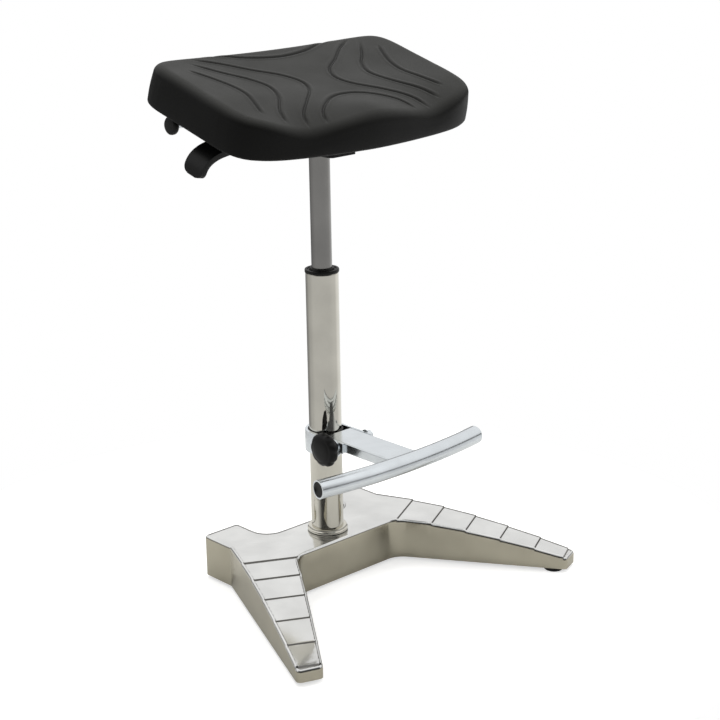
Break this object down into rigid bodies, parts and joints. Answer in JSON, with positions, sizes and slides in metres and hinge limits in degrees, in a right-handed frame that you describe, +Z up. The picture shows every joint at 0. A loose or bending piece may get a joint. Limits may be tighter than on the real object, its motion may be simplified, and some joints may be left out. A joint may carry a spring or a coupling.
{
  "type": "perch stool",
  "caption": "Perch stool with a tilting black foam seat on a gas-spring column, a clamped footrest bar and a die-cast base with two stepped front legs and short rear heels.",
  "frame": {"origin": "the middle of the bounding box at floor height; the column stands 66 mm behind it", "axes": "+Z up, -Y is the side the sitter faces, +X is the sitter's left"},
  "size_m": [0.5198, 0.3576, 0.725],
  "materials": {
    "cast_aluminium": "satin",
    "black_plastic": "fine grain",
    "polished_steel": "mirror polished",
    "satin_steel": "satin",
    "plated_steel": "bright zinc plated",
    "bearing_steel": "ground",
    "brass": "machined",
    "black_steel": "satin powder coat",
    "black_rubber": "matt",
    "seat_foam": "satin integral skin"
  },
  "bodies": {
    "base": {"base_casting": "cast_aluminium", "glide_front_left": "black_plastic", "glide_front_right": "black_plastic", "glide_rear_left": "black_plastic", "glide_rear_right": "black_plastic", "outer_column": "polished_steel", "column_collar": "polished_steel", "column_floor": "black_steel", "guide_bush": "black_plastic", "thrust_washer_lower": "bearing_steel", "bearing_balls": "bearing_steel"},
    "spring_rod": {"piston_rod": "bearing_steel", "retaining_clip": "bearing_steel", "piston": "brass", "thrust_washer_upper": "bearing_steel", "rubber_buffer": "black_rubber"},
    "carrier": {"gas_cylinder": "satin_steel", "cylinder_gland": "brass", "valve_body": "brass", "tilt_bracket": "black_steel", "lever_pivot_pin": "bearing_steel", "friction_discs": "bearing_steel"},
    "release": {"release_pin": "bearing_steel"},
    "lever": {"lever_shaft": "plated_steel", "lever_paddle": "black_plastic"},
    "seat": {"seat_pad": "seat_foam", "seat_insert": "black_plastic", "seat_screws": "plated_steel", "seat_plate": "black_steel", "stop_pad": "black_rubber", "axle_nut": "plated_steel"},
    "tilt_clamp": {"tilt_axle": "plated_steel", "tilt_knob": "black_plastic"},
    "liner": {"column_liner": "black_plastic"},
    "footrest": {"footrest_strap": "plated_steel", "footrest_arm": "plated_steel", "footrest_bar": "plated_steel", "bar_plug_left": "black_plastic", "bar_plug_right": "black_plastic", "clamp_bolt": "plated_steel", "clamp_washers": "plated_steel", "clamp_nut": "plated_steel"},
    "footrest_clamp": {"clamp_grip": "black_plastic"}
  },
  "joints": [
    {"name": "seat_swivel", "type": "hinge", "parent": "base", "child": "spring_rod", "pos_m": [0, 0.0658, 0.024], "axis": [0, 0, 1], "continuous": true},
    {"name": "seat_lift", "type": "slide", "parent": "spring_rod", "child": "carrier", "axis": [0, 0, 1], "range_m": [-0.145, 0.11]},
    {"name": "seat_tilt", "type": "hinge", "parent": "carrier", "child": "seat", "pos_m": [0, 0.1298, 0.6515], "axis": [-1, 0, 0], "range_deg": [0, 16]},
    {"name": "height_lever", "type": "hinge", "parent": "carrier", "child": "lever", "pos_m": [-0.015, 0.0658, 0.6403], "axis": [0, 1, 0], "range_deg": [0, 4], "stiffness_Nm_per_rad": 2},
    {"name": "release_pin_press", "type": "slide", "parent": "carrier", "child": "release", "axis": [0, 0, -1], "range_m": [0, 0.0012]},
    {"name": "tilt_clamp_turn", "type": "hinge", "parent": "seat", "child": "tilt_clamp", "pos_m": [0, 0.1298, 0.6515], "axis": [-1, 0, 0], "range_deg": [0, 270]},
    {"name": "footrest_slide", "type": "slide", "parent": "base", "child": "liner", "axis": [0, 0, 1], "range_m": [-0.1, 0.2]},
    {"name": "footrest_swivel", "type": "hinge", "parent": "liner", "child": "footrest", "pos_m": [0, 0.0658, 0.2], "axis": [0, 0, 1], "continuous": true},
    {"name": "footrest_clamp_turn", "type": "hinge", "parent": "footrest", "child": "footrest_clamp", "pos_m": [0, 0.0158, 0.207], "axis": [1, 0, 0], "range_deg": [0, 270]}
  ],
  "couplings": [
    {"joint": "release_pin_press", "follows": "height_lever", "m_per_rad": 0.015}
  ]
}
